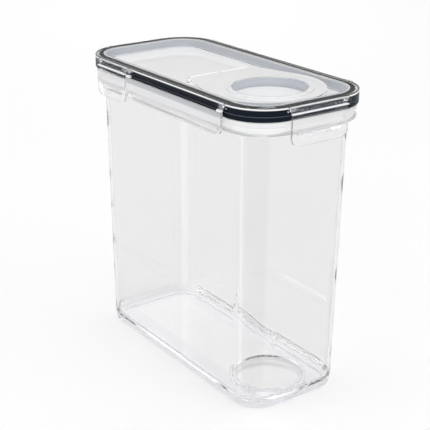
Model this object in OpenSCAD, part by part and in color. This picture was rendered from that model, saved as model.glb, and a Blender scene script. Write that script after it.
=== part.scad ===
// Airtight cereal container: a clear moulded body, a clear recessed lid with a
// flip spout cap, a dark seal, a dark lid band and six clear side clips.
// The spout end is +X. The origin is on the table, under the middle of the body.

/* [Overall] */
// Length of the lid rim, without the clips
lid_length = 229; // [180:1:300]
// Width of the lid rim, without the clips
lid_width = 108; // [96:1:150]
// Height from the table to the top of the rim
height = 235; // [120:1:320]
// Outer corner radius of the rim
corner_radius = 31; // [24:0.5:38]

/* [Lid] */
// Width of the rim, from its outer edge to the recess
rim_width = 9; // [8:0.1:12]
// Thickness of the rim
rim_thickness = 2.2; // [1.6:0.1:3]
// Height of the rounded step on the rim's edges
rim_edge = 0.7; // [0.3:0.1:1]
// Thickness of the lid's upright walls
lid_wall = 1.8; // [1.2:0.1:2.4]
// Radius between the recess wall and its floor
recess_fillet = 1.5; // [0.5:0.1:1.6]
// Depth of the recess in the lid
recess_depth = 6.5; // [5.5:0.1:9]
// Thickness of the recess floor
lid_floor = 2.2; // [1.4:0.1:3]
// How far the locating skirt reaches below the rim's top
skirt_depth = 14; // [12:0.1:16]
// Thickness of the outer skirt behind the dark band
outer_skirt = 2.1; // [1.6:0.1:2.4]

/* [Seal and band] */
// Thickness of the dark band round the lid
band_thickness = 1.0; // [0.8:0.1:1.4]
// Height of each tier of the band
tier_height = 3.9; // [3:0.1:5]
// Depth of the groove between the tiers
tier_groove = 0.4; // [0.2:0.05:0.6]
// Thickness of the seal's upright tongue
seal_tongue = 1.0; // [0.8:0.1:1.2]
// Width of the seal's foot, which the container's lip presses on
seal_foot = 1.75; // [1.4:0.05:2.2]
// How far the seal hangs below the underside of the rim
seal_hang = 1.2; // [0.8:0.1:2]
// Plastic left above the seal's tongue
tongue_cover = 0.5; // [0.3:0.1:0.8]

/* [Container] */
// Thickness of the container's walls
wall = 2.2; // [1.6:0.1:3]
// How far the body stands in from the rim's edge, under the collar
overhang = 7; // [6.5:0.1:9]
// How much further in the body stands at its foot
draft = 2.4; // [0.5:0.1:4]
// Height of the whole collar
collar_height = 10.4; // [9:0.1:13]
// Height of the collar's upper flange
flange_height = 3.4; // [2:0.1:4]
// Height of the collar's lower rib, which the clips close under
rib_height = 1.9; // [1.4:0.1:3]
// Depth of the neck between the flange and the rib
neck_depth = 1.4; // [0.6:0.1:2]
// Thickness of the lip that stands up from the collar and presses on the seal
lip_thickness = 1.5; // [1:0.1:1.8]
// Height of the moulded foot band
foot_height = 5.6; // [5.2:0.1:9]
// Inset of the foot band from the wall
foot_inset = 0.6; // [0.2:0.1:1]
// Width of the foot that stands on the table
foot_width = 6; // [4:0.1:7]
// Height of the underside of the floor
floor_lift = 5; // [3:0.1:6]
// Thickness of the floor
floor_thickness = 2.5; // [1.8:0.1:3]
// Radius inside the container between floor and wall
floor_fillet = 4; // [2:0.1:5]
// Radius of the bottom edge
bottom_fillet = 3.6; // [1:0.1:3.8]

/* [Spout] */
// Distance from the rim's spout end to the middle of the spout
spout_setback = 52.5; // [50.5:0.5:62]
// Inner radius of the dish in the cap
dish_radius = 27; // [22:0.5:27.5]
// Level of the dish floor below the rim's top
dish_depth = 7.8; // [6.5:0.1:9]
// Thickness of the plug's wall and floor
plug_wall = 1.8; // [1.4:0.1:2.2]
// Gap between the plug and the spout hole, filled by the cap seal
plug_gap = 1.4; // [1:0.1:1.8]
// Depth of the spout's neck below the rim's top
neck_bottom = 15; // [11:0.1:18]
// Thickness of the spout's neck
neck_wall = 1.8; // [1.2:0.1:2.2]
// Distance from the rim's spout end to the middle of the round hollow in the container's floor
base_dish_setback = 46; // [46:0.5:80]
// Radius of that hollow
base_dish_radius = 27; // [20:0.5:27.5]
// Depth of that hollow
base_dish_depth = 4.6; // [2:0.1:4.6]

/* [Flip cap] */
// Length of the cap from its hinge to its nose
cap_reach = 98; // [94:0.5:104]
// Gap between the cap's nose and the end of the recess
nose_gap = 5.5; // [4:0.1:8]
// Half the width of the cap's hinge edge
hinge_half = 30; // [24:0.5:33]
// Level of the cap's top below the rim's top
cap_top = 2; // [1.5:0.1:2.6]
// Thickness of the cap's top
cap_plate = 1.8; // [1.4:0.1:2.2]
// Gap between the cap and the recess at its sides
cap_gap = 1; // [0.5:0.1:2]
// Height of the rounded ring round the dish, above the cap's top
ring_rise = 1.3; // [0.6:0.1:1.5]
// Width of that ring
ring_width = 4; // [2.5:0.1:5]
// Radius of the cap's hinge pin
pin_radius = 1; // [0.8:0.05:1.2]
// Radius of the cap's hinge knuckles
knuckle_radius = 2.1; // [1.8:0.05:2.2]
// Width of each hinge lug on the lid
lug_width = 3.4; // [2.4:0.1:5]

/* [Clips] */
// Width of the clips at the two ends
end_clip_width = 49; // [30:0.5:49.5]
// Length of the side clips' shared stretch, along the lid
side_clip_span = 165; // [140:1:166]
// Width of the small side clips at the rear
small_clip_width = 41; // [30:0.5:60]
// How far the small clips hang below the rim's top
clip_drop = 27.5; // [24:0.1:34]
// How far the long clips hang below the rim's top
long_clip_drop = 22.5; // [22.2:0.1:30]
// Level of the long clip's bar below the rim's top
long_clip_top = 10; // [8:0.1:12]
// Width of the long clip's hinge arms
arm_width = 5; // [4.5:0.1:10]
// Thickness of the clips
clip_thickness = 1.8; // [1.4:0.1:2.2]
// Thickness of the clips' roots
root_thickness = 1.2; // [0.8:0.1:1.4]
// Radius of the clips' lower corners
clip_corner = 6; // [3:0.5:8]
// Radius of a clip's pivot roll
roll_radius = 1.7; // [1.5:0.05:1.9]
// Radius of a clip's pivot pins
stub_radius = 0.8; // [0.6:0.05:0.9]
// Length of a clip's pivot pins
stub_length = 3.5; // [2.5:0.1:4]
// Thickness of the lugs that carry the clips
clip_lug = 1.5; // [1.2:0.1:2.5]
// Height of the grip slot in a clip
grip_height = 3.8; // [2:0.1:5]
// Depth of the grip slot
grip_depth = 0.5; // [0.3:0.1:0.8]
// Height of the grip slot's middle above the clip's lower edge
grip_lift = 10; // [6:0.1:12]
// Distance from the grip slot to the clip's sides
grip_margin = 7; // [4:0.1:12]
// Depth of a clip's shoulder below the rim's top
shoulder_drop = 4.8; // [4.2:0.1:6]

/* [Clearances] */
// Running gap of a pin in its bore, all round
pin_gap = 0.05; // [0.02:0.01:0.1]
// Gap between pieces that move past each other
move_gap = 0.3; // [0.2:0.05:0.5]
// Gap between pieces of one assembly that touch
seat_gap = 0.05; // [0.02:0.01:0.1]

/* [Hidden] */
$fn = 64;
clear_plastic = [0.86, 0.90, 0.93, 0.45];
clip_plastic = [0.80, 0.86, 0.92, 0.45];
dark_rubber = [0.08, 0.12, 0.17];
pale_rubber = [0.85, 0.87, 0.88];

// How far shapes that make one piece run into each other, and cuts past a face
bite = 0.1;
past = 1;
floor_overlap = 4;

// Places across the rim are counted outwards from its edge, heights from the table.
band_top = height - rim_thickness;
band_bottom = band_top - 2 * tier_height;
collar_top = band_bottom;
collar_bottom = collar_top - collar_height;
skirt_face = -band_thickness - seat_gap;
skirt_back = skirt_face - outer_skirt;
recess_edge = -rim_width;
recess_floor = height - recess_depth;
tray_face = recess_edge + lid_wall;
mouth_face = tray_face + move_gap;
flange_edge = -band_thickness;
neck_edge = flange_edge - neck_depth;
tongue_face = skirt_back - seat_gap;
tongue_back = tongue_face - seal_tongue;
band_edge = 0.3;

// Upright faces of the container at its foot and under its collar
body_top_out = -overhang;
body_foot_out = -overhang - draft;
body_foot_in = body_foot_out - wall;
floor_top = floor_lift + floor_thickness;
foot_out = body_foot_out - foot_inset;
foot_in = foot_out - foot_width;
floor_edge = body_foot_in - floor_fillet - floor_overlap;
shoulder_blend = 1.6;
shoulder_low = collar_bottom - shoulder_blend;
mouth_slope = 4;
neck_slope = 0.8;
edge_break = 0.5;
base_dish_wall = 2;
base_dish_x = lid_length / 2 - base_dish_setback;

// The lip runs up inside the lid's channel to the seal's foot
lip_out = skirt_back - move_gap;
lip_in = lip_out - lip_thickness;
lip_top = band_top - seal_hang - seat_gap;
lip_break = 0.4;

// The spout and its plug
spout_x = lid_length / 2 - spout_setback;
hinge_x = lid_length / 2 - rim_width - nose_gap - cap_reach;
plug_radius = dish_radius + plug_wall;
hole_radius = plug_radius + plug_gap;
plug_bottom = height - dish_depth - plug_wall;
cap_level = height - cap_top;
cap_bottom = recess_floor + move_gap;
hinge_level = recess_floor + knuckle_radius + move_gap;
nose_radius = lid_width / 2 - rim_width - cap_gap;
nose_x = hinge_x + cap_reach - nose_radius;
hinge_edge = hinge_x + knuckle_radius + move_gap;
skirt_wall = 1.6;
side_bite = 0.04;
pin_inset = 0.2;
seal_groove = 0.6;
cap_seal_height = 1.6;
cap_seal_lift = 0.9;
cap_seal_level = plug_bottom + cap_seal_lift;
seal_lip = 0.4;
ring_top = cap_level + ring_rise;
ring_edge = min(0.6, ring_rise / 2);

// Clip pivots: the roll's inner side clears the band, its outer side is the clip's face
roll_out = move_gap + roll_radius;
roll_level = height - move_gap - roll_radius;
clip_face = roll_out + roll_radius;
clip_back = clip_face - clip_thickness;
shoulder = height - shoulder_drop;
catch_face = flange_edge + move_gap;
catch_top = collar_bottom + rib_height - move_gap;
catch_height = 3.2;
catch_flat = 1.1;
catch_slope = 0.5;
root_depth = 0.3;
root_bottom = shoulder - 2 * bite;
bore_depth = stub_length + move_gap;
lug_gap = move_gap;
long_clip_width = side_clip_span - small_clip_width - clip_lug - 2 * lug_gap;
side_rear = -side_clip_span / 2;
small_front = side_rear + small_clip_width;
long_rear = small_front + clip_lug + 2 * lug_gap;
side_front = side_rear + side_clip_span;

// ---- Shared forms ----

// The lid's outline, moved in by the given distance
module outline(inset) {
  half_x = lid_length / 2 - corner_radius;
  half_y = lid_width / 2 - corner_radius;
  r = corner_radius - inset;
  square([2 * half_x, 2 * (half_y + r)], center = true);
  square([2 * (half_x + r), 2 * half_y], center = true);
  for (sx = [-1, 1], sy = [-1, 1]) translate([sx * half_x, sy * half_y]) circle(r);
}

// Runs a profile once round the lid's outline. In the profile, x is the
// distance outwards from the rim's edge and y is the height.
module run_round() {
  half_x = lid_length / 2 - corner_radius;
  half_y = lid_width / 2 - corner_radius;
  for (side = [0 : 3]) {
    long_side = side % 2 == 1;
    run = 2 * (long_side ? half_x : half_y);
    out = (long_side ? half_y : half_x) + corner_radius;
    rotate([0, 0, 90 * side]) rotate([90, 0, 0]) linear_extrude(run, center = true)
      translate([out, 0]) children();
    corner_x = side == 0 || side == 3 ? half_x : -half_x;
    corner_y = side < 2 ? half_y : -half_y;
    translate([corner_x, corner_y, 0]) rotate([0, 0, 90 * side]) rotate_extrude(angle = 90)
      translate([corner_radius, 0]) children();
  }
}

// Puts a form made for the +X side on side 0 (+X), 1 (+Y), 2 (-X) or 3 (-Y),
// with its x counted from the rim's edge
module on_side(side) {
  out = (side % 2 == 1 ? lid_width : lid_length) / 2;
  rotate([0, 0, 90 * side]) translate([out, 0, 0]) children();
}

// Extrudes a profile (x outwards, y up) along a side, from one place to another
module along(from, to) {
  translate([0, to, 0]) rotate([90, 0, 0]) linear_extrude(to - from) children();
}

// Extrudes a face (x along the side, y up) outwards, from one depth to another
module outwards(from, to) {
  translate([from, 0, 0]) rotate([90, 0, 90]) linear_extrude(to - from) children();
}

// A box of the given corners in a profile
module block(low, high) {
  translate(low) square(high - low);
}

// ---- Container ----

module container_profile() {
  neck_high = collar_top - flange_height - neck_slope;
  neck_low = collar_bottom + rib_height + neck_slope;
  difference() {
    polygon([
      [mouth_face, collar_top], [flange_edge - edge_break, collar_top],
      [flange_edge, collar_top - edge_break], [flange_edge, collar_top - flange_height],
      [neck_edge, neck_high], [neck_edge, neck_low],
      [flange_edge, collar_bottom + rib_height], [flange_edge, collar_bottom + edge_break],
      [flange_edge - edge_break, collar_bottom], [body_top_out + shoulder_blend, collar_bottom],
      [body_top_out, shoulder_low], [body_foot_out, foot_height + foot_inset],
      [foot_out, foot_height], [foot_out, 0], [foot_in, 0], [foot_in, floor_lift],
      [floor_edge, floor_lift], [floor_edge, floor_top],
      [body_foot_in - floor_fillet, floor_top], [body_foot_in, floor_top + floor_fillet],
      [body_top_out - wall, shoulder_low], [mouth_face, shoulder_low + mouth_slope]
    ]);
    block([foot_out - bottom_fillet, -past], [foot_out + past, bottom_fillet]);
  }
  intersection() {
    translate([foot_out - bottom_fillet, bottom_fillet]) circle(bottom_fillet);
    block([foot_out - bottom_fillet, 0], [foot_out + past, bottom_fillet]);
  }
  difference() {
    block([body_foot_in - floor_fillet, floor_top - bite],
          [body_foot_in + bite, floor_top + floor_fillet]);
    translate([body_foot_in - floor_fillet, floor_top + floor_fillet]) circle(floor_fillet);
  }
  polygon([
    [lip_in, collar_top - bite], [lip_in, lip_top - lip_break], [lip_in + lip_break, lip_top],
    [lip_out - lip_break, lip_top], [lip_out, lip_top - lip_break], [lip_out, collar_top - bite]
  ]);
}

module container() {
  dish_bottom = floor_top - base_dish_depth;
  color(clear_plastic) difference() {
    union() {
      run_round() container_profile();
      translate([0, 0, floor_lift]) linear_extrude(floor_thickness)
        outline(-floor_edge - floor_overlap / 4);
      translate([base_dish_x, 0, dish_bottom - base_dish_wall])
        cylinder(r = base_dish_radius + base_dish_wall, h = base_dish_depth);
    }
    translate([base_dish_x, 0, dish_bottom]) cylinder(r = base_dish_radius, h = floor_top);
  }
}

// ---- Lid ----

// The rim: an upturned channel that holds the seal, with the recess wall inside it
module lid_profile() {
  difference() {
    union() {
      block([recess_edge, height - rim_thickness], [-rim_edge, height - rim_edge]);
      block([recess_edge + rim_edge, height - rim_edge - bite], [-rim_edge, height]);
      block([-rim_edge - bite, height - rim_thickness], [0, height - rim_edge]);
      for (x = [-rim_edge, recess_edge + rim_edge])
        translate([x, height - rim_edge]) circle(rim_edge);
      block([recess_edge, height - skirt_depth], [tray_face, height - rim_edge]);
      block([skirt_back, band_bottom + move_gap], [skirt_face, band_top + bite]);
    }
    block([tongue_back - seat_gap, band_top - bite], [skirt_back, height - tongue_cover]);
  }
  difference() {
    block([recess_edge - recess_fillet, recess_floor - bite],
          [recess_edge + bite, recess_floor + recess_fillet]);
    translate([recess_edge - recess_fillet, recess_floor + recess_fillet])
      circle(recess_fillet);
  }
}

// A lug at the rim that carries a clip's pivot pins
module clip_lug_profile() {
  translate([roll_out, roll_level]) circle(roll_radius);
  block([skirt_face - outer_skirt / 2, band_top + bite], [roll_out, roll_level + roll_radius]);
  block([seat_gap, roll_level - roll_radius], [roll_out, band_top + 2 * bite]);
}

// Lugs stand at both ends of a clip's stretch, each with a pin towards the clip
module clip_lugs(from, to) {
  for (edge = [[from - lug_gap - clip_lug, 1], [to + lug_gap, -1]]) {
    along(edge[0], edge[0] + clip_lug) clip_lug_profile();
    start = edge[1] > 0 ? edge[0] : edge[0] - lug_gap - stub_length;
    along(start, start + clip_lug + lug_gap + stub_length)
      translate([roll_out, roll_level]) circle(stub_radius);
  }
}

module cap_hinge_lug(y) {
  translate([hinge_x, y + lug_width / 2, 0]) rotate([90, 0, 0]) linear_extrude(lug_width)
    difference() {
      union() {
        translate([0, hinge_level]) circle(knuckle_radius);
        block([-knuckle_radius, recess_floor - 2 * bite], [knuckle_radius, hinge_level]);
      }
      translate([0, hinge_level]) circle(pin_radius + pin_gap);
    }
}

module lid() {
  color(clear_plastic) {
    difference() {
      union() {
        run_round() lid_profile();
        translate([0, 0, recess_floor - lid_floor]) linear_extrude(lid_floor)
          outline(-recess_edge - lid_wall / 2);
        translate([spout_x, 0, height - neck_bottom])
          cylinder(r = hole_radius + neck_wall, h = neck_bottom - recess_depth);
      }
      translate([spout_x, 0, 0]) cylinder(r = hole_radius, h = height + past);
    }
    for (side = [0, 2]) on_side(side) clip_lugs(-end_clip_width / 2, end_clip_width / 2);
    on_side(3) clip_lugs(side_rear, small_front);
    on_side(3) clip_lugs(long_rear, side_front);
    on_side(1) clip_lugs(-small_front, -side_rear);
    on_side(1) clip_lugs(-side_front, -long_rear);
    for (y = [-1, 0, 1]) cap_hinge_lug(y * (hinge_half - lug_width / 2));
  }
}

// ---- Dark seal and band ----

module seal_ring() {
  color(dark_rubber) run_round() {
    block([tongue_back, band_top - seal_hang], [tongue_face, height - tongue_cover - seat_gap]);
    block([tongue_face - seal_foot, band_top - seal_hang], [tongue_face, band_top - seat_gap]);
  }
}

module lid_band() {
  middle = band_top - tier_height;
  high = band_top - seat_gap;
  low = band_bottom + move_gap;
  color(dark_rubber) run_round() polygon([
    [-band_thickness, high], [-band_edge, high], [0, high - band_edge],
    [0, middle + tier_groove], [-tier_groove, middle], [0, middle - tier_groove],
    [0, low + band_edge], [-band_edge, low], [-band_thickness, low]
  ]);
}

// ---- Flip cap ----

// The cap's outline seen from above: a straight hinge edge that widens to a round nose.
// Each side runs a little into the nose's circle, so that they join cleanly.
module cap_outline(inset) {
  r = nose_radius - inset;
  half = hinge_half - inset;
  edge = hinge_edge + inset;
  lean = asin(r / norm([nose_x - edge, half])) - atan2(half, nose_x - edge);
  touch_x = nose_x - (r - side_bite) * sin(lean);
  touch_y = (r - side_bite) * cos(lean);
  translate([nose_x, 0]) circle(r);
  polygon([[edge, -half], [edge, half], [touch_x, touch_y], [touch_x, -touch_y]]);
}

// The cap's plate with the skirt that stands it off the recess floor
module cap_shell() {
  translate([0, 0, cap_level - cap_plate]) linear_extrude(cap_plate) cap_outline(0);
  difference() {
    translate([0, 0, cap_bottom]) linear_extrude(cap_level - cap_bottom - cap_plate / 2)
      cap_outline(0);
    translate([0, 0, cap_bottom - past]) linear_extrude(cap_level - cap_bottom + past)
      cap_outline(skirt_wall);
  }
}

// The plug and the rounded ring at its top, before the dish is cut
module plug_profile() {
  outer = dish_radius + ring_width;
  block([0, plug_bottom], [plug_radius, ring_top - ring_edge]);
  block([0, cap_level - ring_edge], [outer, ring_top - ring_edge]);
  block([0, ring_top - ring_edge - bite], [outer - ring_edge, ring_top]);
  translate([outer - ring_edge, ring_top - ring_edge]) circle(ring_edge);
}

// The dish, which flares out over the ring's rounded inner edge
module dish_profile() {
  block([0, height - dish_depth], [dish_radius, ring_top + past]);
  difference() {
    block([dish_radius - bite, ring_top - ring_edge],
          [dish_radius + ring_edge, ring_top + past]);
    translate([dish_radius + ring_edge, ring_top - ring_edge]) circle(ring_edge);
  }
}

module seal_groove_profile() {
  block([plug_radius - seal_groove, cap_seal_level],
        [plug_radius + past, cap_seal_level + cap_seal_height]);
}

// Knuckles stand between the lid's lugs, and a short web joins each to the plate
module cap_knuckles() {
  first = lug_width / 2 + move_gap;
  last = hinge_half - lug_width - move_gap;
  web = hinge_x + knuckle_radius / 2;
  for (from = [first, -last]) {
    translate([hinge_x, from, hinge_level]) rotate([-90, 0, 0])
      cylinder(r = knuckle_radius, h = last - first);
    translate([web, from, cap_level - cap_plate])
      cube([hinge_edge + skirt_wall - web, last - first, cap_plate - seat_gap]);
  }
}

module flip_cap() {
  color(clear_plastic) difference() {
    union() {
      cap_shell();
      translate([spout_x, 0, 0]) rotate_extrude() plug_profile();
      cap_knuckles();
    }
    translate([spout_x, 0, 0]) rotate_extrude() dish_profile();
    translate([spout_x, 0, 0]) rotate_extrude() seal_groove_profile();
    translate([hinge_x, 0, hinge_level]) rotate([90, 0, 0])
      cylinder(r = pin_radius + pin_gap, h = 2 * hinge_half, center = true);
  }
}

module cap_seal() {
  lip = hole_radius - move_gap;
  inner = plug_radius - seal_groove + seat_gap;
  color(pale_rubber) translate([spout_x, 0, cap_seal_level]) rotate_extrude() {
    block([inner, seat_gap], [lip - seal_lip, cap_seal_height - seat_gap]);
    translate([lip - seal_lip, cap_seal_height / 2]) circle(seal_lip);
  }
}

module cap_hinge_pin() {
  color("silver") translate([hinge_x, 0, hinge_level]) rotate([90, 0, 0])
    cylinder(r = pin_radius, h = 2 * (hinge_half - pin_inset), center = true);
}

// ---- Clips ----

// A clip's face: straight at the top, round at its two lower corners
module clip_face_shape(from, to, top, bottom) {
  r = min(clip_corner, (top - bottom) / 2);
  block([from, bottom + r], [to, top]);
  block([from + r, bottom], [to - r, bottom + r + past]);
  for (x = [from + r, to - r]) translate([x, bottom + r]) circle(r);
}

// The bead on a clip's inner face, which closes under the collar's rib
module catch_profile() {
  polygon([
    [clip_back + bite, catch_top + catch_slope], [catch_face, catch_top],
    [catch_face, catch_top - catch_flat], [clip_back + bite, catch_top - catch_height]
  ]);
}

module grip_slot(from, to) {
  middle = height - clip_drop + grip_lift;
  r = grip_height / 2;
  left = from + grip_margin + r;
  right = to - grip_margin - r;
  outwards(clip_face - grip_depth, clip_face + past) {
    block([left, middle - r], [right, middle + r]);
    for (x = [left, right]) translate([x, middle]) circle(r);
  }
}

module pivot_bores(from, to) {
  for (start = [from - past, to - bore_depth]) along(start, start + bore_depth + past)
    translate([roll_out, roll_level]) circle(stub_radius + pin_gap);
}

// The roll and the root of a clip, over one stretch
module clip_root(from, to) {
  along(from, to) {
    translate([roll_out, roll_level]) circle(roll_radius);
    block([roll_out - root_depth, root_bottom],
          [roll_out - root_depth + root_thickness, roll_level]);
  }
}

module small_clip(from, to) {
  color(clip_plastic) difference() {
    union() {
      clip_root(from, to);
      outwards(clip_back, clip_face)
        clip_face_shape(from, to, shoulder, height - clip_drop);
      along(from + clip_corner, to - clip_corner) catch_profile();
    }
    pivot_bores(from, to);
    grip_slot(from, to);
  }
}

module long_clip(from, to) {
  top = height - long_clip_top;
  color(clip_plastic) difference() {
    union() {
      for (start = [from, to - arm_width]) {
        clip_root(start, start + arm_width);
        outwards(clip_back, clip_face) block([start, top - past], [start + arm_width, shoulder]);
      }
      outwards(clip_back, clip_face)
        clip_face_shape(from, to, top, height - long_clip_drop);
      along(from + clip_corner, to - clip_corner) catch_profile();
    }
    pivot_bores(from, to);
  }
}

module clip_front() { on_side(0) small_clip(-end_clip_width / 2, end_clip_width / 2); }

module clip_rear() { on_side(2) small_clip(-end_clip_width / 2, end_clip_width / 2); }

module clip_right_small() { on_side(3) small_clip(side_rear, small_front); }

module clip_left_small() { on_side(1) small_clip(-small_front, -side_rear); }

module clip_right_long() { on_side(3) long_clip(long_rear, side_front); }

module clip_left_long() { on_side(1) long_clip(-side_front, -long_rear); }

container();
lid();
seal_ring();
lid_band();
flip_cap();
cap_seal();
cap_hinge_pin();
clip_front();
clip_rear();
clip_right_small();
clip_left_small();
clip_right_long();
clip_left_long();
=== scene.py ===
"""Looks for a tall clear cereal container with a flip spout lid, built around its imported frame.

Everything is in metres in the frame of the part: +Z up, +X towards the spout end, with the origin on the
table under the middle of the container.
"""

import logging
import math
from collections.abc import Callable
from dataclasses import dataclass, field
from enum import Enum

import bpy
from mathutils import Matrix, Vector

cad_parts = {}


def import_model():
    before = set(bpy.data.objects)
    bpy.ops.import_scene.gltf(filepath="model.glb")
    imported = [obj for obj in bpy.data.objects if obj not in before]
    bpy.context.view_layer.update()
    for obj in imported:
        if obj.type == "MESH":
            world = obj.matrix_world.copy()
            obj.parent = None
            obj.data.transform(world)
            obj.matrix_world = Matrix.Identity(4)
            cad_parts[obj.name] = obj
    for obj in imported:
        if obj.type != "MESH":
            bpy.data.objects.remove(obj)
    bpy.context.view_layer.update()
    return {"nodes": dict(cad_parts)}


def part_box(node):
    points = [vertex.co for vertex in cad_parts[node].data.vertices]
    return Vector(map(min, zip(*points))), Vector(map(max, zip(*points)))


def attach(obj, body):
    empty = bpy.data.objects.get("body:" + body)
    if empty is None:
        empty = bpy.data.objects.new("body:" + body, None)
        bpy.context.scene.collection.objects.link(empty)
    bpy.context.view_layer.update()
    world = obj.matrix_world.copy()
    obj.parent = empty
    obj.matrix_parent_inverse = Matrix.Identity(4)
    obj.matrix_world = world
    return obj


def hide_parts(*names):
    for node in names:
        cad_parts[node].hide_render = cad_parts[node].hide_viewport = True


LOG = logging.getLogger("cereal_container")
FRAME_PX = 430
Socket = bpy.types.NodeSocket
Colour = tuple[float, float, float]


def grey(level: float) -> tuple[float, float, float, float]:
    """Make a grey of one level, as nodes take it."""
    return (level, level, level, 1.0)


@dataclass(frozen=True)
class RimOutline:
    """The lid's outline seen from above: a rectangle with round corners."""

    length: float = 0.229
    width: float = 0.108
    corner: float = 0.031

    @property
    def straight_x(self) -> float:
        """Half the straight stretch of a long side."""
        return self.length / 2 - self.corner

    @property
    def straight_y(self) -> float:
        """Half the straight stretch of a short side."""
        return self.width / 2 - self.corner

    def outwards(self, x: float, y: float) -> float:
        """Measure how far a place lies outside the outline.

        Args:
            x: The place along the lid.
            y: The place across the lid.

        Returns:
            The distance outwards, which is below zero inside.
        """
        ax = abs(x) - self.straight_x
        ay = abs(y) - self.straight_y
        return math.hypot(max(ax, 0.0), max(ay, 0.0)) + min(max(ax, ay), 0.0) - self.corner


RIM = RimOutline()
SPOUT_X = 0.062
HINGE_X = 0.002
HINGE_REACH = 0.036
EVERYWHERE = -1.0
MERGE_DISTANCE = 0.000005
SAME_LEVEL = 0.00002
FLAT_DEG = 0.5


class Shine(Enum):
    """How a surface of the container takes the light."""

    POLISHED = 0.02
    MOULDED = 0.06
    FROSTED = 0.16
    SATIN = 0.32
    SOFT = 0.5


class Across(Enum):
    """What the width of a milky stretch is measured from."""

    RIM = "outwards from the rim's edge"
    SPOUT = "outwards from the middle of the spout"
    HINGE = "away from the cap's hinge"


class NodeTree:
    """A small helper that adds and joins shader nodes of one material."""

    def __init__(self, name: str) -> None:
        """Start a material with an empty node tree.

        Args:
            name: The material's name.
        """
        self.material = bpy.data.materials.new(name)
        self.material.use_nodes = True
        self.nodes = self.material.node_tree.nodes
        self.links = self.material.node_tree.links
        self.nodes.clear()
        self.output = self.nodes.new("ShaderNodeOutputMaterial")
        self.place = self.add("ShaderNodeTexCoord").outputs["Object"]

    def add(self, kind: str, **values: object) -> bpy.types.Node:
        """Add a node and set its inputs or properties.

        Args:
            kind: The node's type.
            values: Inputs by name with underscores for spaces, or properties of the node.

        Returns:
            The new node.
        """
        node = self.nodes.new(kind)
        for key, value in values.items():
            label = key.replace("_", " ")
            if label in node.inputs:
                node.inputs[label].default_value = value
            else:
                setattr(node, key, value)
        return node

    def join(self, source: Socket, target: Socket) -> None:
        """Link one socket to another."""
        self.links.new(source, target)

    def maths(self, operation: str, *terms: Socket | float) -> Socket:
        """Add a Math node.

        Args:
            operation: The node's operation.
            terms: Its inputs, as sockets or numbers.

        Returns:
            The node's output.
        """
        node = self.add("ShaderNodeMath", operation=operation)
        for entry, term in zip(node.inputs, terms):
            if isinstance(term, (int, float)):
                entry.default_value = term
            else:
                self.join(term, entry)
        return node.outputs[0]

    def noise(self, scale: float, detail: float = 1.0) -> Socket:
        """Add a noise on the object's own coordinates.

        Args:
            scale: How fine it is, in turns per metre.
            detail: How many finer layers it has.

        Returns:
            Its value from 0 to 1.
        """
        node = self.add("ShaderNodeTexNoise", Scale=scale, Detail=detail)
        self.join(self.place, node.inputs["Vector"])
        return node.outputs["Fac"]

    def spread(self, value: Socket, low: float, high: float) -> Socket:
        """Map a value from 0 to 1 onto a range.

        Args:
            value: The value.
            low: What 0 becomes.
            high: What 1 becomes.

        Returns:
            The new value.
        """
        node = self.add("ShaderNodeMapRange", To_Min=low, To_Max=high)
        self.join(value, node.inputs["Value"])
        return node.outputs["Result"]

    def step(self, value: Socket, at: float, soft: float) -> Socket:
        """Rise softly from 0 to 1 where a value passes a level.

        Args:
            value: The value.
            at: The level.
            soft: Half the width of the rise.

        Returns:
            The soft step.
        """
        node = self.add("ShaderNodeMapRange", interpolation_type="SMOOTHSTEP", From_Min=at - soft,
                        From_Max=at + soft)
        self.join(value, node.inputs["Value"])
        return node.outputs["Result"]

    def within(self, value: Socket, span: tuple[float, float], soft: float) -> Socket:
        """Give 1 where a value lies in a span, and 0 outside it.

        Args:
            value: The value.
            span: The span's two ends.
            soft: Half the width of each edge.

        Returns:
            The soft mask.
        """
        past_low = self.step(value, span[0], soft)
        past_high = self.step(value, span[1], soft)
        return self.maths("MULTIPLY", past_low, self.maths("SUBTRACT", 1.0, past_high))

    def blend(self, share: Socket, first: Socket | float, second: Socket | float) -> Socket:
        """Blend two values.

        Args:
            share: How much of the second is taken.
            first: The first value.
            second: The second value.

        Returns:
            The blend.
        """
        node = self.add("ShaderNodeMix", data_type="FLOAT")
        self.join(share, node.inputs[0])
        for entry, term in ((node.inputs[2], first), (node.inputs[3], second)):
            if isinstance(term, (int, float)):
                entry.default_value = term
            else:
                self.join(term, entry)
        return node.outputs[0]

    def blend_colour(self, share: Socket, first: Socket | Colour, second: Socket | Colour) -> Socket:
        """Blend two colours.

        Args:
            share: How much of the second is taken.
            first: The first colour.
            second: The second colour.

        Returns:
            The blend.
        """
        node = self.add("ShaderNodeMix", data_type="RGBA")
        self.join(share, node.inputs[0])
        for entry, term in ((node.inputs[6], first), (node.inputs[7], second)):
            if isinstance(term, tuple):
                entry.default_value = (*term, 1.0)
            else:
                self.join(term, entry)
        return node.outputs[2]

    def coordinates(self) -> tuple[Socket, Socket, Socket]:
        """Split the object's own coordinates into X, Y and Z."""
        parts = self.add("ShaderNodeSeparateXYZ")
        self.join(self.place, parts.inputs[0])
        return parts.outputs["X"], parts.outputs["Y"], parts.outputs["Z"]

    def past_corner(self, x: Socket, y: Socket) -> tuple[Socket, Socket]:
        """Measure how far a place lies past the middle of the nearest corner's rounding.

        Args:
            x: The place along the lid.
            y: The place across the lid.

        Returns:
            The distances along and across, which are below zero on the straight sides.
        """
        along = self.maths("SUBTRACT", self.maths("ABSOLUTE", x), RIM.straight_x)
        across = self.maths("SUBTRACT", self.maths("ABSOLUTE", y), RIM.straight_y)
        return along, across

    def length(self, along: Socket, across: Socket) -> Socket:
        """Measure the length of a flat vector."""
        squares = [self.maths("MULTIPLY", value, value) for value in (along, across)]
        return self.maths("SQRT", self.maths("ADD", *squares))

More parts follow.
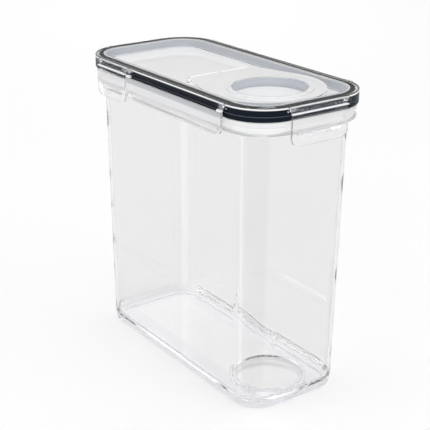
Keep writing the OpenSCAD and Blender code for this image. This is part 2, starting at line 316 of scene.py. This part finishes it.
    def from_rim(self, x: Socket, y: Socket) -> Socket:
        """Measure the distance outwards from the rim's edge.

        Args:
            x: The place along the lid.
            y: The place across the lid.

        Returns:
            The distance, which is below zero inside the rim.
        """
        along, across = self.past_corner(x, y)
        outer = self.length(*(self.maths("MAXIMUM", value, 0.0) for value in (along, across)))
        inner = self.maths("MINIMUM", self.maths("MAXIMUM", along, across), 0.0)
        return self.maths("SUBTRACT", self.maths("ADD", outer, inner), RIM.corner)

    def from_spout(self, x: Socket, y: Socket) -> Socket:
        """Measure the distance from the spout's upright axis.

        Args:
            x: The place along the lid.
            y: The place across the lid.

        Returns:
            The distance.
        """
        return self.length(self.maths("SUBTRACT", x, SPOUT_X), y)

    def from_hinge(self, x: Socket, y: Socket) -> Socket:
        """Measure how far a place is from the cap's hinge.

        Args:
            x: The place along the lid.
            y: The place across the lid.

        Returns:
            The distance.
        """
        along = self.maths("ABSOLUTE", self.maths("SUBTRACT", x, HINGE_X))
        beside = self.maths("SUBTRACT", self.maths("ABSOLUTE", y), HINGE_REACH)
        return self.maths("MAXIMUM", along, beside)

    def corner_turn(self, x: Socket, y: Socket) -> Socket:
        """Measure how far round a corner a place lies.

        Args:
            x: The place along the lid.
            y: The place across the lid.

        Returns:
            The turn in degrees, from 0 at the long side to 90 at the short side.
        """
        return self.maths("DEGREES", self.maths("ARCTAN2", *self.past_corner(x, y)))


@dataclass(frozen=True)
class PaintedCornerStreak:
    """An upright streak painted into one corner of the body: a painted highlight where it is lighter than the
    rest, painted shade where it is darker.

    The corner is given by the signs of its X and Y.
    """

    corner: tuple[float, float]
    turn: tuple[float, float]
    colour: Colour
    soft: float = 2.0


@dataclass(frozen=True)
class MilkyAndPaintedStretch:
    """A stretch of a clear moulding that looks unlike the rest of it.

    It is milky where the moulding is thick, dark where the seal touches it, hardly there where it is thin, and
    pale where it is a painted highlight along an edge.
    """

    colour: Colour
    clarity: float
    width: tuple[float, float]
    levels: tuple[float, float]
    across: Across = Across.RIM
    shine: Shine = Shine.MOULDED
    presence: float = 1.0
    soft: float = 0.0003


@dataclass(frozen=True)
class ClearPlastic:
    """A clear moulded plastic that bends light, with faint waves from the mould.

    Lamps shine through it, so that a wall throws only a faint shadow.
    """

    name: str
    surface_tint: Colour
    clarity: float = 1.0
    shine: Shine = Shine.POLISHED
    bend: float = 1.49
    wave_size: float = 60.0
    wave_depth: float = 0.02
    wave_rise: float = 0.001
    shadow: float = 0.97
    # milky stretches, and pale stretches that are painted highlights
    milky_and_painted_stretches: tuple[MilkyAndPaintedStretch, ...] = ()
    # painted highlight and painted shade streaks in the body's corners
    painted_corner_streaks: tuple[PaintedCornerStreak, ...] = ()
    # painted shade: a darker colour where the surface is seen end on
    painted_edge_shade: Colour | None = None
    painted_edge_shade_span: tuple[float, float] = (0.62, 0.88)

    def build(self) -> bpy.types.Material:
        """Make the material.

        Returns:
            The finished material.
        """
        tree = NodeTree(self.name)
        plastic = tree.add("ShaderNodeBsdfPrincipled", Base_Color=(*self.surface_tint, 1.0), IOR=self.bend,
                           Transmission_Weight=self.clarity)
        waves = tree.noise(self.wave_size)
        relief = tree.add("ShaderNodeBump", Strength=self.wave_depth, Distance=self.wave_rise)
        tree.join(waves, relief.inputs["Height"])
        tree.join(relief.outputs["Normal"], plastic.inputs["Normal"])
        polish = tree.spread(waves, self.shine.value * 0.7, self.shine.value * 1.3)
        if self.milky_and_painted_stretches:
            polish = self.cloud_and_paint(tree, plastic, polish)
        tree.join(polish, plastic.inputs["Roughness"])
        clear = tree.add("ShaderNodeBsdfTransparent", Color=grey(self.shadow))
        path = tree.add("ShaderNodeLightPath")
        lit = tree.add("ShaderNodeMixShader")
        tree.join(path.outputs["Is Shadow Ray"], lit.inputs["Fac"])
        tree.join(plastic.outputs["BSDF"], lit.inputs[1])
        tree.join(clear.outputs["BSDF"], lit.inputs[2])
        tree.join(lit.outputs["Shader"], tree.output.inputs["Surface"])
        return tree.material

    def clear_colour(self, tree: NodeTree, x: Socket, y: Socket) -> Socket | Colour:
        """Tint the clear plastic, with its painted highlight and shade streaks in the corners and painted shade
        on its edges seen end on.

        Args:
            tree: The material's nodes.
            x: The place along the container.
            y: The place across the container.

        Returns:
            The tint.
        """
        colour: Socket | Colour = self.surface_tint
        # painted highlight and painted shade streaks, each in its own corner
        for streak in self.painted_corner_streaks:
            share = tree.within(tree.corner_turn(x, y), streak.turn, streak.soft)
            for value, sign in zip((x, y), streak.corner):
                share = tree.maths("MULTIPLY", share, tree.step(tree.maths("MULTIPLY", value, sign), 0.0, 0.001))
            colour = tree.blend_colour(share, colour, streak.colour)
        # painted shade, darker where the surface is seen end on
        if self.painted_edge_shade:
            facing = tree.add("ShaderNodeLayerWeight", Blend=0.5).outputs["Facing"]
            low, high = self.painted_edge_shade_span
            edge = tree.step(facing, (low + high) / 2, (high - low) / 2)
            colour = tree.blend_colour(edge, colour, self.painted_edge_shade)
        return colour

    def cloud_and_paint(self, tree: NodeTree, plastic: bpy.types.Node, polish: Socket) -> Socket:
        """Lay the milky stretches and the painted highlights over the clear plastic.

        Args:
            tree: The material's nodes.
            plastic: The plastic's shader.
            polish: Its roughness where it is clear.

        Returns:
            Its roughness all over.
        """
        x, y, level = tree.coordinates()
        measures = {Across.RIM: tree.from_rim, Across.SPOUT: tree.from_spout, Across.HINGE: tree.from_hinge}
        used = {stretch.across for stretch in self.milky_and_painted_stretches}
        distance = {across: measure(x, y) for across, measure in measures.items() if across in used}
        colour = self.clear_colour(tree, x, y)
        clarity: Socket | float = self.clarity
        presence: Socket | float = 1.0
        for stretch in self.milky_and_painted_stretches:
            across = tree.within(distance[stretch.across], stretch.width, stretch.soft)
            here = tree.maths("MULTIPLY", across, tree.within(level, stretch.levels, stretch.soft))
            colour = tree.blend_colour(here, colour, stretch.colour)
            clarity = tree.blend(here, clarity, stretch.clarity)
            polish = tree.blend(here, polish, stretch.shine.value)
            if stretch.presence < 1.0:
                presence = tree.blend(here, presence, stretch.presence)
        tree.join(colour, plastic.inputs["Base Color"])
        tree.join(clarity, plastic.inputs["Transmission Weight"])
        if not isinstance(presence, float):
            tree.join(presence, plastic.inputs["Alpha"])
        return polish


@dataclass(frozen=True)
class SoftSeal:
    """A smooth silicone or soft plastic with a fine matte grain and paler patches, and a painted highlight along
    its groove.
    """

    name: str
    colour: Colour
    worn: Colour
    shine: Shine = Shine.SATIN
    grain: float = 900.0
    grain_depth: float = 0.05
    grain_rise: float = 0.0002
    patch_size: float = 45.0
    # the levels of the groove, where a highlight line is painted
    groove: tuple[float, float] | None = None
    painted_groove_highlight_colour: Colour = (0.10, 0.11, 0.13)

    def build(self) -> bpy.types.Material:
        """Make the material.

        Returns:
            The finished material.
        """
        tree = NodeTree(self.name)
        rubber = tree.add("ShaderNodeBsdfPrincipled", Specular_IOR_Level=0.08)
        grain = tree.noise(self.grain, 2.0)
        colour = tree.blend_colour(tree.noise(self.patch_size, 2.0), self.colour, self.worn)
        # painted highlight: a paler line along the groove between the band's two tiers
        if self.groove:
            level = tree.coordinates()[2]
            colour = tree.blend_colour(tree.within(level, self.groove, 0.0001), colour, self.painted_groove_highlight_colour)
        tree.join(colour, rubber.inputs["Base Color"])
        tree.join(tree.spread(grain, self.shine.value * 0.8, self.shine.value * 1.2), rubber.inputs["Roughness"])
        relief = tree.add("ShaderNodeBump", Strength=self.grain_depth, Distance=self.grain_rise)
        tree.join(grain, relief.inputs["Height"])
        tree.join(relief.outputs["Normal"], rubber.inputs["Normal"])
        tree.join(rubber.outputs["BSDF"], tree.output.inputs["Surface"])
        return tree.material


BODY_PLASTIC = ClearPlastic("clear_body_plastic", (0.91, 0.91, 0.91), milky_and_painted_stretches=(
    # the foot and the floor's edge, and then the collar
    MilkyAndPaintedStretch((0.88, 0.88, 0.905), 0.96, (-0.030, 0.001), (-0.001, 0.0078), soft=0.0006),
    MilkyAndPaintedStretch((0.92, 0.925, 0.935), 0.50, (-0.0045, 0.001), (0.2138, 0.2256)),
), painted_corner_streaks=(
    # painted shade on the near corner at the spout with a painted highlight streak in it, and a painted
    # highlight streak on the far corner
    PaintedCornerStreak((1.0, -1.0), (24.0, 66.0), (0.87, 0.87, 0.87), 5.0),
    PaintedCornerStreak((1.0, -1.0), (15.0, 19.0), (1.0, 1.0, 1.0)),
    PaintedCornerStreak((-1.0, 1.0), (42.0, 58.0), (0.98, 0.98, 0.98), 3.0),
# painted shade on the body's edges seen end on
), painted_edge_shade=(0.50, 0.50, 0.51))
LID_PLASTIC = ClearPlastic("clear_lid_plastic", (0.96, 0.96, 0.965), milky_and_painted_stretches=(
    # the recess's floor, the rim's inner edge, the bead on the rim and the recess's wall
    MilkyAndPaintedStretch((1.0, 1.0, 1.0), 0.15, (-0.070, -0.0104), (0.2281, 0.2290)),
    MilkyAndPaintedStretch((0.86, 0.88, 0.90), 0.30, (-0.0095, -0.0084), (0.2341, 0.2365)),
    MilkyAndPaintedStretch((1.0, 1.0, 1.0), 0.15, (-0.0077, -0.0067), (0.2345, 0.2365), soft=0.0002),
    MilkyAndPaintedStretch((0.60, 0.63, 0.68), 0.20, (-0.0106, -0.0084), (0.2288, 0.2341)),
    # the rim's outer face: a painted highlight along its rounded top edge, and dark below, where the band
    # touches it
    MilkyAndPaintedStretch((0.98, 0.98, 0.985), 0.10, (-0.0002, 0.001), (0.2334, 0.2345), soft=0.0002),
    MilkyAndPaintedStretch((0.01, 0.013, 0.02), 0.0, (-0.0012, 0.001), (0.2320, 0.2334), soft=0.0002),
    # the rim's channel, dark where the seal touches it, and the thin hinge lugs
    MilkyAndPaintedStretch((0.001, 0.003, 0.006), 0.0, (-0.0066, -0.0030), (0.2306, 0.2347), shine=Shine.SATIN,
                 soft=0.0001),
    MilkyAndPaintedStretch((0.96, 0.96, 0.965), 1.0, (EVERYWHERE, 0.0060), (0.2292, 0.2400), Across.HINGE,
                 presence=0.12),
))
CAP_PLASTIC = ClearPlastic("clear_cap_plastic", (0.98, 0.98, 0.985), milky_and_painted_stretches=(
    # the top, the ring round the dish, the dish's wall and its floor
    MilkyAndPaintedStretch((1.0, 1.0, 1.0), 0.25, (0.0312, 0.0800), (0.2325, 0.2335), Across.SPOUT),
    MilkyAndPaintedStretch((1.0, 1.0, 1.0), 0.25, (0.0276, 0.0312), (0.2330, 0.2350), Across.SPOUT),
    MilkyAndPaintedStretch((0.54, 0.57, 0.63), 0.20, (0.0264, 0.0279), (0.2275, 0.2338), Across.SPOUT),
    MilkyAndPaintedStretch((1.0, 1.0, 1.0), 0.30, (-0.01, 0.0264), (0.2265, 0.2277), Across.SPOUT),
    # the thin knuckles and the pin
    MilkyAndPaintedStretch((0.98, 0.98, 0.985), 1.0, (EVERYWHERE, 0.0046), (0.2270, 0.2323), Across.HINGE,
                 presence=0.12),
))
CLIP_SPAN = (-0.001, 0.006)
CLIP_ROLL = MilkyAndPaintedStretch((0.66, 0.75, 0.86), 0.90, CLIP_SPAN, (0.2304, 0.2360), shine=Shine.FROSTED,
                         presence=0.15)
CLIP_PLASTIC = ClearPlastic("milky_clip_plastic", (0.98, 0.98, 0.985), 0.92, Shine.MOULDED, milky_and_painted_stretches=(
    # the thin roll over the rim, the clear window over the band and a painted highlight along the shoulder
    # between them
    CLIP_ROLL,
    MilkyAndPaintedStretch((0.70, 0.76, 0.84), 0.95, CLIP_SPAN, (0.2270, 0.2297), presence=0.10),
    MilkyAndPaintedStretch((0.96, 0.965, 0.97), 0.10, CLIP_SPAN, (0.2296, 0.2304), soft=0.0002),
))
LONG_CLIP_PLASTIC = ClearPlastic("milky_bar_plastic", (0.98, 0.98, 0.985), 0.90, Shine.MOULDED, milky_and_painted_stretches=(
    # the same roll, a painted highlight along the shoulder, and the bar's thick upper edge
    CLIP_ROLL,
    MilkyAndPaintedStretch((0.96, 0.965, 0.97), 0.10, CLIP_SPAN, (0.2290, 0.2304), soft=0.0002),
    MilkyAndPaintedStretch((0.62, 0.63, 0.66), 0.40, CLIP_SPAN, (0.2250, 0.2284), soft=0.0004),
))
DARK_SILICONE = SoftSeal("dark_silicone", (0.002, 0.005, 0.010), (0.004, 0.008, 0.015))
# the band's groove carries a painted highlight line
BAND_RUBBER = SoftSeal("dark_band_rubber", (0.002, 0.006, 0.012), (0.006, 0.011, 0.019),
                       groove=(0.2286, 0.2292))
PALE_SILICONE = SoftSeal("pale_silicone", (0.55, 0.58, 0.60), (0.62, 0.65, 0.67), Shine.SOFT)
Finish = ClearPlastic | SoftSeal


@dataclass
class Workshop:
    """Copies, models and finishes pieces, and puts them on their bodies."""

    nodes: dict[str, bpy.types.Object]
    finishes: dict[str, bpy.types.Material] = field(default_factory=dict)

    def material(self, finish: Finish) -> bpy.types.Material:
        """Build a finish once and reuse it.

        Args:
            finish: The finish to build.

        Returns:
            The material of that finish.
        """
        if finish.name not in self.finishes:
            self.finishes[finish.name] = finish.build()
        return self.finishes[finish.name]

    def dress(self, piece: bpy.types.Object, finish: Finish) -> None:
        """Give a piece its only finish."""
        piece.data.materials.clear()
        piece.data.materials.append(self.material(finish))
        LOG.info("%s: %s", piece.name, finish.name)

    def stand_for(self, piece: bpy.types.Object, node: str, body: str, slot: str, finish: Finish) -> None:
        """Put a finished piece in the place of a node of the frame.

        Args:
            piece: The piece.
            node: The node it stands for.
            body: The body it rides on.
            slot: The record's slot of its finish, which is not used.
            finish: Its finish.
        """
        self.dress(piece, finish)
        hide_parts(node)
        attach(piece, body)

    @staticmethod
    def pick(piece: bpy.types.Object) -> None:
        """Select one object alone and make it the active one."""
        bpy.ops.object.select_all(action="DESELECT")
        piece.select_set(True)
        bpy.context.view_layer.objects.active = piece

    def copy_of(self, node: str, name: str, plain_faces: bool = True) -> bpy.types.Object:
        """Copy a node's mesh into a new piece, with its loose triangles merged.

        Args:
            node: The node.
            name: The new piece's name.
            plain_faces: Whether triangles in one plane become one face.

        Returns:
            The new piece.
        """
        piece = bpy.data.objects.new(name, self.nodes[node].data.copy())
        piece.data.name = name
        bpy.context.scene.collection.objects.link(piece)
        self.pick(piece)
        bpy.ops.mesh.customdata_custom_splitnormals_clear()
        bpy.ops.object.mode_set(mode="EDIT")
        bpy.ops.mesh.select_all(action="SELECT")
        bpy.ops.mesh.remove_doubles(threshold=MERGE_DISTANCE)
        if plain_faces:
            bpy.ops.mesh.dissolve_limited(angle_limit=math.radians(FLAT_DEG))
        bpy.ops.object.mode_set(mode="OBJECT")
        return piece

    def round_edges(self, piece: bpy.types.Object, wanted: Callable[[Vector, Vector], bool], width: float,
                    segments: int = 3, sharp: float = 35.0) -> None:
        """Round the sharp edges that a test picks.

        Args:
            piece: The piece.
            wanted: Says by the places of an edge's two ends whether it is rounded.
            width: How wide the rounding is.
            segments: How many faces it has.
            sharp: The least angle between the faces of a sharp edge, in degrees.
        """
        self.pick(piece)
        bpy.ops.object.mode_set(mode="EDIT")
        bpy.ops.mesh.select_mode(type="EDGE")
        bpy.ops.mesh.select_all(action="DESELECT")
        bpy.ops.mesh.edges_select_sharp(sharpness=math.radians(sharp))
        bpy.ops.object.mode_set(mode="OBJECT")
        mesh = piece.data
        for edge in mesh.edges:
            ends = [mesh.vertices[i].co for i in edge.vertices]
            edge.select = edge.select and wanted(*ends)
        bpy.ops.object.mode_set(mode="EDIT")
        bpy.ops.mesh.bevel(offset=width, segments=segments, affect="EDGES", clamp_overlap=True)
        bpy.ops.object.mode_set(mode="OBJECT")

    def smooth(self, piece: bpy.types.Object, angle: float = 20.0) -> None:
        """Shade a piece smoothly where its faces meet at a small angle, and keep its large faces flat.

        Args:
            piece: The piece.
            angle: The largest such angle, in degrees.
        """
        self.pick(piece)
        bpy.ops.object.shade_smooth_by_angle(angle=math.radians(angle))
        bpy.ops.object.modifier_add(type="WEIGHTED_NORMAL")
        weigh = piece.modifiers[-1]
        weigh.keep_sharp = True
        bpy.ops.object.modifier_apply(modifier=weigh.name)


@dataclass
class ContainerBody:
    """The clear body with its collar and foot."""

    workshop: Workshop

    def build(self) -> None:
        """Copy the body and shade its corners smoothly."""
        body = self.workshop.copy_of("container", "clear_body", plain_faces=False)
        self.workshop.smooth(body)
        self.workshop.stand_for(body, "container", "container", "clear_body", BODY_PLASTIC)


@dataclass
class LidAssembly:
    """The lid with its seal, its dark band and the cap's hinge pin."""

    workshop: Workshop
    seal_out: float = -0.0032
    tongue_width: float = 0.001
    foot_width: float = 0.0036
    foot_low: float = 0.2316
    foot_high: float = 0.23275
    tongue_high: float = 0.23445
    seal_round: float = 0.00015
    corner_segments: int = 24

    def build(self) -> None:
        """Build the lid's pieces."""
        shop = self.workshop
        lid = shop.copy_of("lid", "lid_moulding", plain_faces=False)
        shop.smooth(lid)
        shop.stand_for(lid, "lid", "lid", "clear_lid", LID_PLASTIC)
        band = shop.copy_of("lid_band", "dark_band")
        shop.smooth(band)
        shop.stand_for(band, "lid_band", "lid", "dark_band", BAND_RUBBER)
        shop.stand_for(self.model_seal(), "seal_ring", "lid", "dark_seal", DARK_SILICONE)
        shop.dress(shop.nodes["cap_hinge_pin"], CAP_PLASTIC)

    def model_seal(self) -> bpy.types.Object:
        """Model the seal: a broad foot that runs round under the rim, with a tongue up into it.

        Returns:
            The seal.
        """
        bpy.ops.object.select_all(action="DESELECT")
        bpy.ops.mesh.primitive_plane_add(size=1, location=(0, 0, self.foot_high))
        seal = bpy.context.object
        seal.name = "dark_seal"
        seal.data.name = "dark_seal"
        seal.scale = (RIM.length + 2 * self.seal_out, RIM.width + 2 * self.seal_out, 1)
        bpy.ops.object.transform_apply(location=True, rotation=True, scale=True)
        bpy.ops.object.mode_set(mode="EDIT")
        bpy.ops.mesh.select_all(action="SELECT")
        bpy.ops.mesh.bevel(offset=RIM.corner + self.seal_out, segments=self.corner_segments, affect="VERTICES",
                           clamp_overlap=False)
        bpy.ops.mesh.select_all(action="SELECT")
        bpy.ops.mesh.inset(thickness=self.tongue_width, use_even_offset=True)
        bpy.ops.mesh.inset(thickness=self.foot_width - self.tongue_width, use_even_offset=True)
        bpy.ops.mesh.delete(type="FACE")
        bpy.ops.mesh.select_all(action="SELECT")
        bpy.ops.mesh.extrude_region_move(
            TRANSFORM_OT_translate={"value": (0, 0, self.foot_low - self.foot_high)})
        bpy.ops.mesh.select_all(action="DESELECT")
        bpy.ops.mesh.select_mode(type="FACE")
        bpy.ops.object.mode_set(mode="OBJECT")
        edge = self.seal_out - self.tongue_width
        for face in seal.data.polygons:
            centre = face.center
            face.select = centre.z > self.foot_high - SAME_LEVEL and RIM.outwards(centre.x, centre.y) > edge
        bpy.ops.object.mode_set(mode="EDIT")
        bpy.ops.mesh.extrude_region_move(
            TRANSFORM_OT_translate={"value": (0, 0, self.tongue_high - self.foot_high)})
        bpy.ops.mesh.select_all(action="SELECT")
        bpy.ops.mesh.normals_make_consistent(inside=False)
        bpy.ops.object.mode_set(mode="OBJECT")
        self.workshop.round_edges(seal, lambda a, b: True, self.seal_round, 2)
        self.workshop.smooth(seal)
        return seal


@dataclass
class SpoutCap:
    """The flip cap and the pale seal round its plug."""

    workshop: Workshop

    def build(self) -> None:
        """Build the cap's pieces."""
        shop = self.workshop
        cap = shop.copy_of("flip_cap", "spout_cap", plain_faces=False)
        shop.smooth(cap)
        shop.stand_for(cap, "flip_cap", "flip_cap", "clear_cap", CAP_PLASTIC)
        shop.dress(shop.nodes["cap_seal"], PALE_SILICONE)


@dataclass(frozen=True)
class ClipFace:
    """The outer face of a clip, and which of its edges are rounded."""

    low: Vector
    high: Vector
    at_end: bool
    out: float = 0.0037
    bead_low: float = 0.2150
    bead_high: float = 0.2200
    side_reach: float = 0.0012
    slack: float = 0.00005

    def has(self, place: Vector) -> bool:
        """Say whether a place is on the face's outline.

        Args:
            place: The place.

        Returns:
            Whether it lies on the outer face, and at the level of the bead close to a side as well.
        """
        if self.at_end:
            side, low, high = place.y, self.low.y, self.high.y
            outer = abs(place.x) - RIM.length / 2
        else:
            side, low, high = place.x, self.low.x, self.high.x
            outer = abs(place.y) - RIM.width / 2
        by_bead = self.bead_low < place.z < self.bead_high
        by_side = min(side - low, high - side) <= self.side_reach
        return outer >= self.out - self.slack and (by_side or not by_bead)

    def holds(self, first: Vector, second: Vector) -> bool:
        """Say whether both ends of an edge are on the outline."""
        return self.has(first) and self.has(second)


@dataclass
class ClipSet:
    """The six clips, each with rounded edges."""

    workshop: Workshop
    end_clips: tuple[str, ...] = ("clip_front", "clip_rear")
    small_clips: tuple[str, ...] = ("clip_right_small", "clip_left_small")
    long_clips: tuple[str, ...] = ("clip_right_long", "clip_left_long")
    edge_round: float = 0.0006
    bar_top: float = 0.225
    bar_rise: float = 0.0034

    def build(self) -> None:
        """Build all clips."""
        for name in self.end_clips + self.small_clips + self.long_clips:
            self.build_clip(name)

    def build_clip(self, name: str) -> None:
        """Copy one clip and round the edges of its face.

        Args:
            name: The clip's node, which is also its body.
        """
        shop = self.workshop
        clip = shop.copy_of(name, f"moulded_{name}")
        is_long = name in self.long_clips
        if is_long:
            self.raise_bar(clip)
        face = ClipFace(*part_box(name), name in self.end_clips)
        shop.round_edges(clip, face.holds, self.edge_round)
        shop.smooth(clip)
        shop.stand_for(clip, name, name, "clear_clip", LONG_CLIP_PLASTIC if is_long else CLIP_PLASTIC)

    def raise_bar(self, clip: bpy.types.Object) -> None:
        """Raise the upper edge of a long clip's bar between its arms.

        Args:
            clip: The long clip.
        """
        self.workshop.pick(clip)
        bpy.ops.object.mode_set(mode="EDIT")
        bpy.ops.mesh.select_mode(type="VERT")
        bpy.ops.mesh.select_all(action="DESELECT")
        bpy.ops.object.mode_set(mode="OBJECT")
        for vertex in clip.data.vertices:
            vertex.select = abs(vertex.co.z - self.bar_top) < SAME_LEVEL
        bpy.ops.object.mode_set(mode="EDIT")
        bpy.ops.transform.translate(value=(0, 0, self.bar_rise))
        bpy.ops.object.mode_set(mode="OBJECT")


@dataclass
class PhotoCamera:
    """A camera at the photograph's place, fitted in pixels of its 430 x 430 frame."""

    place: tuple[float, float, float] = (0.64732, -0.46596, 0.42581)
    target: tuple[float, float, float] = (0.07718, -0.09655, 0.1175)
    roll_deg: float = -0.75
    focal_px: float = 1073.44
    centre_px: tuple[float, float] = (169.23, 276.31)
    sensor_mm: float = 36.0

    def build(self) -> bpy.types.Object:
        """Make the camera and use it for the scene.

        Returns:
            The camera.
        """
        data = bpy.data.cameras.new("photo_camera")
        data.sensor_width = self.sensor_mm
        data.lens = self.focal_px / FRAME_PX * self.sensor_mm
        data.shift_x = (FRAME_PX / 2 - self.centre_px[0]) / FRAME_PX
        data.shift_y = (self.centre_px[1] - FRAME_PX / 2) / FRAME_PX
        data.clip_start = 0.01
        data.clip_end = 20.0
        back = (Vector(self.place) - Vector(self.target)).normalized()
        right = Vector((0.0, 0.0, 1.0)).cross(back).normalized()
        up = back.cross(right)
        turn = math.radians(self.roll_deg)
        rolled_right = right * math.cos(turn) + up * math.sin(turn)
        rolled_up = up * math.cos(turn) - right * math.sin(turn)
        camera = bpy.data.objects.new("photo_camera", data)
        bpy.context.scene.collection.objects.link(camera)
        rows = Matrix((rolled_right, rolled_up, back)).transposed()
        camera.matrix_world = Matrix.Translation(self.place) @ rows.to_4x4()
        bpy.context.scene.camera = camera
        return camera


@dataclass
class Studio:
    """A pale floor, a soft sky and soft lamps."""

    floor_size: float = 3.2
    floor_drop: float = 0.0002
    floor_grey: float = 0.95
    sky_level: float = 0.75
    wall_sides: int = 96
    wall_radius: float = 2.6
    wall_levels: tuple[float, float] = (0.65, 2.2)
    wall_grey: float = 0.22
    aim_height: float = 0.12
    lamps: tuple[tuple[str, tuple[float, float, float], float, float], ...] = (
        ("key_lamp", (0.9, -1.6, 1.9), 1.4, 18.0),
        ("fill_lamp", (2.0, 0.9, 1.2), 1.6, 9.0),
        ("back_lamp", (-1.6, 1.0, 1.6), 1.6, 9.0),
    )

    def build(self) -> None:
        """Make the floor, the grey wall, the sky and the lamps."""
        self.make_floor()
        self.make_wall()
        self.make_sky()
        for name, place, size, power in self.lamps:
            self.make_lamp(name, place, size, power)

    def make_floor(self) -> None:
        """Lay a floor that is white to the camera and still takes the shadow."""
        bpy.ops.object.select_all(action="DESELECT")
        bpy.ops.mesh.primitive_plane_add(size=self.floor_size, location=(0, 0, -self.floor_drop))
        floor = bpy.context.object
        floor.name = "floor"
        tree = NodeTree("pale_floor")
        matte = tree.add("ShaderNodeBsdfDiffuse", Color=grey(self.floor_grey))
        tree.join(matte.outputs["BSDF"], tree.output.inputs["Surface"])
        floor.data.materials.append(tree.material)

    def make_wall(self) -> None:
        """Stand a round grey wall far outside the picture, which is seen only mirrored in the shiny parts."""
        bpy.ops.object.select_all(action="DESELECT")
        low, high = self.wall_levels
        bpy.ops.mesh.primitive_cylinder_add(vertices=self.wall_sides, radius=self.wall_radius,
                                            depth=high - low, end_fill_type="NOTHING",
                                            location=(0, 0, (low + high) / 2))
        wall = bpy.context.object
        wall.name = "grey_wall"
        tree = NodeTree("grey_wall")
        glow = tree.add("ShaderNodeEmission", Color=grey(self.wall_grey))
        tree.join(glow.outputs["Emission"], tree.output.inputs["Surface"])
        wall.data.materials.append(tree.material)
        wall.visible_camera = False
        wall.visible_diffuse = False
        wall.visible_transmission = False
        wall.visible_shadow = False

    def make_sky(self) -> None:
        """Make the world: white where it is seen, and softer where it lights."""
        world = bpy.data.worlds.new("studio_sky")
        world.use_nodes = True
        bpy.context.scene.world = world
        nodes = world.node_tree.nodes
        links = world.node_tree.links
        nodes.clear()
        out = nodes.new("ShaderNodeOutputWorld")
        sky = nodes.new("ShaderNodeBackground")
        sky.inputs["Color"].default_value = grey(1.0)
        path = nodes.new("ShaderNodeLightPath")
        seen = path.outputs["Is Camera Ray"]
        for kind in ("Is Transmission Ray", "Is Glossy Ray"):
            either = nodes.new("ShaderNodeMath")
            either.operation = "MAXIMUM"
            links.new(seen, either.inputs[0])
            links.new(path.outputs[kind], either.inputs[1])
            seen = either.outputs["Value"]
        level = nodes.new("ShaderNodeMapRange")
        level.inputs["To Min"].default_value = self.sky_level
        level.inputs["To Max"].default_value = 1.0
        links.new(seen, level.inputs["Value"])
        links.new(level.outputs["Result"], sky.inputs["Strength"])
        links.new(sky.outputs["Background"], out.inputs["Surface"])

    def make_lamp(self, name: str, place: tuple[float, float, float], size: float, power: float) -> None:
        """Hang one square lamp that looks at the middle of the container.

        Args:
            name: The lamp's name.
            place: Where it hangs.
            size: The length of its side.
            power: Its power in watts.
        """
        data = bpy.data.lights.new(name, "AREA")
        data.energy = power
        data.size = size
        lamp = bpy.data.objects.new(name, data)
        lamp.location = place
        aim = Vector((0.0, 0.0, self.aim_height)) - Vector(place)
        lamp.rotation_euler = aim.to_track_quat("-Z", "Y").to_euler()
        bpy.context.scene.collection.objects.link(lamp)


def let_light_through() -> None:
    """Let light cross and follow many clear walls before it is given up."""
    cycles = bpy.context.scene.cycles
    cycles.max_bounces = 32
    cycles.glossy_bounces = 24
    cycles.transmission_bounces = 32
    cycles.transparent_max_bounces = 48


def main() -> None:
    """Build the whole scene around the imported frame."""
    logging.basicConfig(level=logging.INFO, format="%(message)s")
    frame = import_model()
    bpy.context.scene.view_settings.view_transform = "Standard"
    let_light_through()
    workshop = Workshop(frame["nodes"])
    for assembly in (ContainerBody, LidAssembly, SpoutCap, ClipSet):
        assembly(workshop).build()
    PhotoCamera().build()
    Studio().build()


if __name__ == "__main__":
    main()
